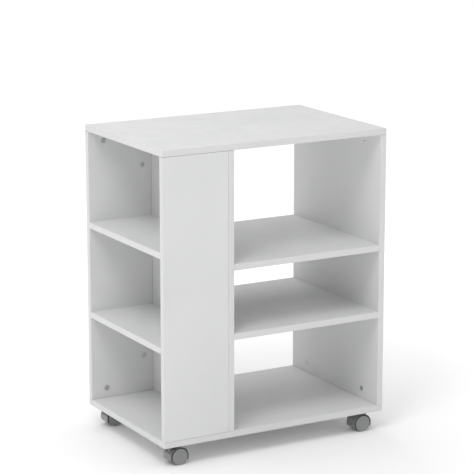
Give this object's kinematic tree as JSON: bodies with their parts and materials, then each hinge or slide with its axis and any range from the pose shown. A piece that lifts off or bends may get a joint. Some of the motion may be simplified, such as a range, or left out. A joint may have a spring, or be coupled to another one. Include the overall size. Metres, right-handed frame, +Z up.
{
  "type": "mobile printer stand",
  "caption": "Open white board cabinet on swivelling twin-wheel casters: flat top for a printer, a shelved bay open front and back, and a narrow shelved column open at the left side.",
  "frame": {"origin": "on the floor, under the middle of the cabinet's footprint", "axes": "+X to the right and +Y to the back as seen by a person facing the shelved bay, +Z up"},
  "size_m": [0.6, 0.4, 0.75],
  "materials": {
    "white_board": "white melamine-faced particle board, satin",
    "edge_band": "white edge band, satin",
    "cam_zinc": "cast zinc, bright",
    "bolt_steel": "zinc-plated steel",
    "dowel_wood": "plain beech",
    "screw_steel": "zinc-plated steel",
    "caster_steel": "zinc-plated steel",
    "plate_steel": "black coated steel",
    "hood_plastic": "moulded dark grey nylon, glossy",
    "wheel_plastic": "moulded grey nylon, satin",
    "tyre_tread": "dark tread, matt"
  },
  "bodies": {
    "cabinet": {"top_panel": "white_board", "bottom_panel": "white_board", "right_side_panel": "white_board", "divider_panel": "white_board", "front_panel": "white_board", "rear_panel": "white_board", "right_upper_shelf": "white_board", "right_lower_shelf": "white_board", "left_upper_shelf": "white_board", "left_lower_shelf": "white_board", "top_panel_edge_band": "edge_band", "bottom_panel_edge_band": "edge_band", "right_side_panel_edge_band": "edge_band", "divider_panel_edge_band": "edge_band", "front_panel_edge_band": "edge_band", "rear_panel_edge_band": "edge_band", "right_upper_shelf_edge_band": "edge_band", "right_lower_shelf_edge_band": "edge_band", "left_upper_shelf_edge_band": "edge_band", "left_lower_shelf_edge_band": "edge_band", "cam_locks": "cam_zinc", "cam_bolts": "bolt_steel", "wood_dowels": "dowel_wood", "caster_screws": "screw_steel", "caster_fl_plate": "plate_steel", "caster_fl_stem": "caster_steel", "caster_fr_plate": "plate_steel", "caster_fr_stem": "caster_steel", "caster_rl_plate": "plate_steel", "caster_rl_stem": "caster_steel", "caster_rr_plate": "plate_steel", "caster_rr_stem": "caster_steel"},
    "front_left_swivel": {"caster_fl_hood": "hood_plastic", "caster_fl_axle": "caster_steel", "caster_fl_ring": "caster_steel"},
    "front_left_wheel_left": {"caster_fl_wheel_left": "wheel_plastic", "caster_fl_tyre_left": "tyre_tread"},
    "front_left_wheel_right": {"caster_fl_wheel_right": "wheel_plastic", "caster_fl_tyre_right": "tyre_tread"},
    "front_right_swivel": {"caster_fr_hood": "hood_plastic", "caster_fr_axle": "caster_steel", "caster_fr_ring": "caster_steel"},
    "front_right_wheel_left": {"caster_fr_wheel_left": "wheel_plastic", "caster_fr_tyre_left": "tyre_tread"},
    "front_right_wheel_right": {"caster_fr_wheel_right": "wheel_plastic", "caster_fr_tyre_right": "tyre_tread"},
    "rear_left_swivel": {"caster_rl_hood": "hood_plastic", "caster_rl_axle": "caster_steel", "caster_rl_ring": "caster_steel"},
    "rear_left_wheel_left": {"caster_rl_wheel_left": "wheel_plastic", "caster_rl_tyre_left": "tyre_tread"},
    "rear_left_wheel_right": {"caster_rl_wheel_right": "wheel_plastic", "caster_rl_tyre_right": "tyre_tread"},
    "rear_right_swivel": {"caster_rr_hood": "hood_plastic", "caster_rr_axle": "caster_steel", "caster_rr_ring": "caster_steel"},
    "rear_right_wheel_left": {"caster_rr_wheel_left": "wheel_plastic", "caster_rr_tyre_left": "tyre_tread"},
    "rear_right_wheel_right": {"caster_rr_wheel_right": "wheel_plastic", "caster_rr_tyre_right": "tyre_tread"}
  },
  "joints": [
    {"name": "front_left_swivel", "type": "hinge", "parent": "cabinet", "child": "front_left_swivel", "pos_m": [-0.268, -0.168, 0.045], "axis": [0, 0, 1], "continuous": true},
    {"name": "front_left_left_wheel_spin", "type": "hinge", "parent": "front_left_swivel", "child": "front_left_wheel_left", "pos_m": [-0.253, -0.168, 0.02], "axis": [0, 1, 0], "continuous": true},
    {"name": "front_left_right_wheel_spin", "type": "hinge", "parent": "front_left_swivel", "child": "front_left_wheel_right", "pos_m": [-0.253, -0.168, 0.02], "axis": [0, 1, 0], "continuous": true},
    {"name": "front_right_swivel", "type": "hinge", "parent": "cabinet", "child": "front_right_swivel", "pos_m": [0.268, -0.168, 0.045], "axis": [0, 0, 1], "continuous": true},
    {"name": "front_right_left_wheel_spin", "type": "hinge", "parent": "front_right_swivel", "child": "front_right_wheel_left", "pos_m": [0.253, -0.168, 0.02], "axis": [0, 1, 0], "continuous": true},
    {"name": "front_right_right_wheel_spin", "type": "hinge", "parent": "front_right_swivel", "child": "front_right_wheel_right", "pos_m": [0.253, -0.168, 0.02], "axis": [0, 1, 0], "continuous": true},
    {"name": "rear_left_swivel", "type": "hinge", "parent": "cabinet", "child": "rear_left_swivel", "pos_m": [-0.268, 0.168, 0.045], "axis": [0, 0, 1], "continuous": true},
    {"name": "rear_left_left_wheel_spin", "type": "hinge", "parent": "rear_left_swivel", "child": "rear_left_wheel_left", "pos_m": [-0.253, 0.168, 0.02], "axis": [0, 1, 0], "continuous": true},
    {"name": "rear_left_right_wheel_spin", "type": "hinge", "parent": "rear_left_swivel", "child": "rear_left_wheel_right", "pos_m": [-0.253, 0.168, 0.02], "axis": [0, 1, 0], "continuous": true},
    {"name": "rear_right_swivel", "type": "hinge", "parent": "cabinet", "child": "rear_right_swivel", "pos_m": [0.268, 0.168, 0.045], "axis": [0, 0, 1], "continuous": true},
    {"name": "rear_right_left_wheel_spin", "type": "hinge", "parent": "rear_right_swivel", "child": "rear_right_wheel_left", "pos_m": [0.253, 0.168, 0.02], "axis": [0, 1, 0], "continuous": true},
    {"name": "rear_right_right_wheel_spin", "type": "hinge", "parent": "rear_right_swivel", "child": "rear_right_wheel_right", "pos_m": [0.253, 0.168, 0.02], "axis": [0, 1, 0], "continuous": true}
  ]
}
